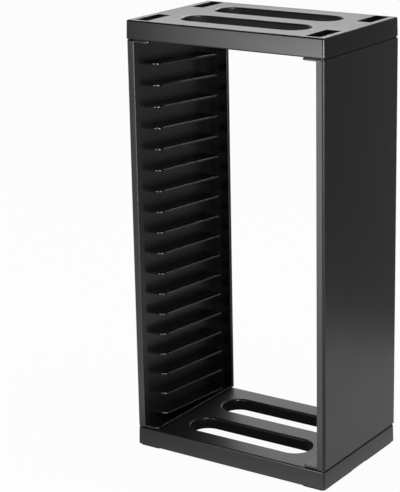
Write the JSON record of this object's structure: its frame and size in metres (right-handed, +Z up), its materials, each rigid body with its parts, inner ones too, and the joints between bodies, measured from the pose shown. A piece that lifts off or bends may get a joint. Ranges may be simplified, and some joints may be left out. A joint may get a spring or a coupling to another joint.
{
  "type": "game disc rack",
  "caption": "Free-standing knock-down plastic tower that holds game cases flat on ribbed side panels, open at front and back, with slotted base and top plates.",
  "frame": {"origin": "under the middle of the rack, on the surface that its foot pads stand on", "axes": "+X to the rack's right seen from the front, +Y to the rear, +Z up"},
  "size_m": [0.187, 0.1194, 0.3718],
  "materials": {
    "moulded_shell": "satin black moulding",
    "pad_rubber": "matt, with diamond texture"
  },
  "bodies": {
    "base": {"base_plate": "moulded_shell", "front_left_foot_pad": "pad_rubber", "front_right_foot_pad": "pad_rubber", "rear_left_foot_pad": "pad_rubber", "rear_right_foot_pad": "pad_rubber"},
    "top": {"top_plate": "moulded_shell"},
    "left_panel": {"left_side_panel": "moulded_shell"},
    "right_panel": {"right_side_panel": "moulded_shell"}
  },
  "joints": [
    {"name": "top_plate_lift", "type": "slide", "parent": "base", "child": "top", "axis": [0, 0, 1], "range_m": [0, 0.02]},
    {"name": "left_panel_lift", "type": "slide", "parent": "base", "child": "left_panel", "axis": [0, 0, 1], "range_m": [0, 0.01]},
    {"name": "right_panel_lift", "type": "slide", "parent": "base", "child": "right_panel", "axis": [0, 0, 1], "range_m": [0, 0.01]}
  ],
  "couplings": [
    {"joint": "left_panel_lift", "follows": "top_plate_lift", "ratio": 0.5},
    {"joint": "right_panel_lift", "follows": "top_plate_lift", "ratio": 0.5}
  ]
}
